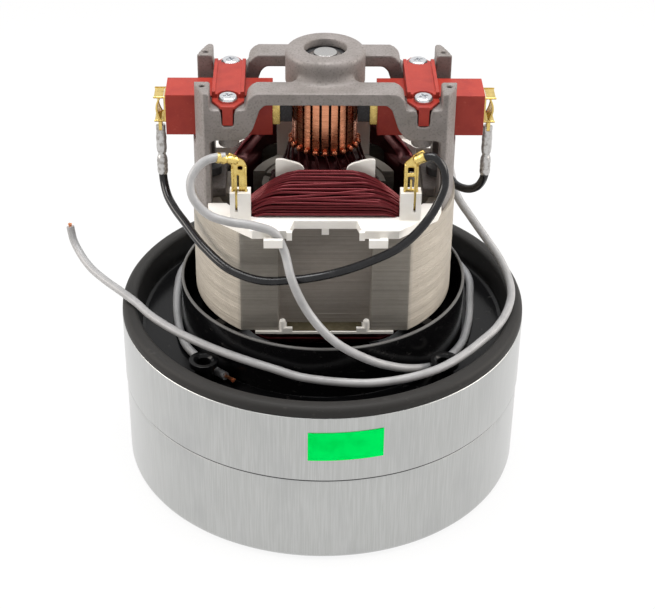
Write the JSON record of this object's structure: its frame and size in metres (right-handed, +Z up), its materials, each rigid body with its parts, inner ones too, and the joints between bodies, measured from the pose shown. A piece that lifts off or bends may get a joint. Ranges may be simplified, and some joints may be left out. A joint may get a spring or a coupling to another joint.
{
  "type": "vacuum motor unit",
  "caption": "Vacuum cleaner motor: a round steel fan casing with a black dished end plate carries an open motor with red field coils, brush holders, a cast bracket and loose leads.",
  "frame": {"origin": "centre of the fan casing's bottom face", "axes": "+Z up the shaft to the bearing boss, the pictured front faces -Y, +X to the picture's right"},
  "size_m": [0.1654, 0.1442, 0.1596],
  "materials": {
    "casing_steel": "galvanised, faint upright streaks",
    "green_vinyl": "satin",
    "stage_steel": "galvanised",
    "black_moulding": "matte rim, glossy dish",
    "lamination_steel": "fine lamination edges",
    "dark_steel": "oiled",
    "red_enamel_wire": "glossy enamel over copper",
    "white_moulding": "satin",
    "brass_sheet": "bright",
    "cast_alloy": "die cast, satin",
    "zinc_screw": "bright zinc",
    "red_phenolic": "satin",
    "tinned_steel": "tinned",
    "spring_steel": "bright",
    "bearing_steel": "ground",
    "bearing_shield": "dark",
    "black_pvc": "satin",
    "grey_pvc": "satin",
    "bare_copper": "bright strands",
    "commutator_copper": "tarnished",
    "carbon": "matt",
    "brown_moulding": "satin",
    "shaft_steel": "ground",
    "fan_aluminium": "pressed sheet"
  },
  "bodies": {
    "motor_frame": {"lower_casing": "casing_steel", "upper_casing": "casing_steel", "green_sticker": "green_vinyl", "stage_plate": "stage_steel", "return_guide": "stage_steel", "end_plate": "black_moulding", "bearing_retainer": "stage_steel", "stator_core": "lamination_steel", "stator_bolts": "dark_steel", "field_core_front": "red_enamel_wire", "field_core_back": "red_enamel_wire", "field_winding_front": "red_enamel_wire", "field_winding_back": "red_enamel_wire", "upper_former_front": "white_moulding", "upper_former_back": "white_moulding", "lower_former_front": "white_moulding", "lower_former_back": "white_moulding", "field_terminal_front_left": "brass_sheet", "field_terminal_front_right": "brass_sheet", "field_terminal_back_left": "brass_sheet", "field_terminal_back_right": "brass_sheet", "motor_bracket": "cast_alloy", "holder_screws": "zinc_screw", "brush_holder_left": "red_phenolic", "brush_holder_right": "red_phenolic", "brush_tube_left": "brass_sheet", "brush_tube_right": "brass_sheet", "brush_cap_left": "brass_sheet", "brush_cap_right": "brass_sheet", "lead_crimp_left": "tinned_steel", "lead_crimp_right": "tinned_steel", "brush_spring_left": "spring_steel", "brush_spring_right": "spring_steel", "upper_bearing_outer": "bearing_steel", "lower_bearing_outer": "bearing_steel", "upper_bearing_shield": "bearing_shield", "lower_bearing_shield": "bearing_shield", "jumper_front": "black_pvc", "jumper_back": "black_pvc", "lead_front": "grey_pvc", "lead_back": "grey_pvc", "lead_front_strands": "bare_copper", "lead_back_strands": "bare_copper"},
    "rotor": {"shaft": "shaft_steel", "upper_bearing_inner": "bearing_steel", "lower_bearing_inner": "bearing_steel", "armature_core": "lamination_steel", "armature_winding": "red_enamel_wire", "commutator_hub": "brown_moulding", "commutator_bars": "commutator_copper", "fan_stage_1": "fan_aluminium", "fan_stage_2": "fan_aluminium", "fan_spacer_lower": "shaft_steel", "fan_spacer_upper": "shaft_steel", "fan_nut": "dark_steel", "fan_washer": "dark_steel"},
    "brush_left": {"carbon_brush_left": "carbon"},
    "brush_right": {"carbon_brush_right": "carbon"},
    "upper_balls": {"upper_bearing_balls": "bearing_steel"},
    "lower_balls": {"lower_bearing_balls": "bearing_steel"}
  },
  "joints": [
    {"name": "rotor_spin", "type": "hinge", "parent": "motor_frame", "child": "rotor", "pos_m": [0, 0, 0.09], "axis": [0, 0, 1], "continuous": true},
    {"name": "brush_left_slide", "type": "slide", "parent": "motor_frame", "child": "brush_left", "axis": [-1, 0, 0], "range_m": [0, 0.006], "stiffness_N_per_m": 40, "springref_m": -0.015, "deforming": ["brush_spring_left"]},
    {"name": "brush_right_slide", "type": "slide", "parent": "motor_frame", "child": "brush_right", "axis": [1, 0, 0], "range_m": [0, 0.006], "stiffness_N_per_m": 40, "springref_m": -0.015, "deforming": ["brush_spring_right"]},
    {"name": "upper_balls_spin", "type": "hinge", "parent": "motor_frame", "child": "upper_balls", "pos_m": [0, 0, 0.1531], "axis": [0, 0, 1], "continuous": true},
    {"name": "lower_balls_spin", "type": "hinge", "parent": "motor_frame", "child": "lower_balls", "pos_m": [0, 0, 0.0505], "axis": [0, 0, 1], "continuous": true}
  ],
  "couplings": [
    {"joint": "upper_balls_spin", "follows": "rotor_spin", "ratio": 0.36767},
    {"joint": "lower_balls_spin", "follows": "rotor_spin", "ratio": 0.36767}
  ]
}
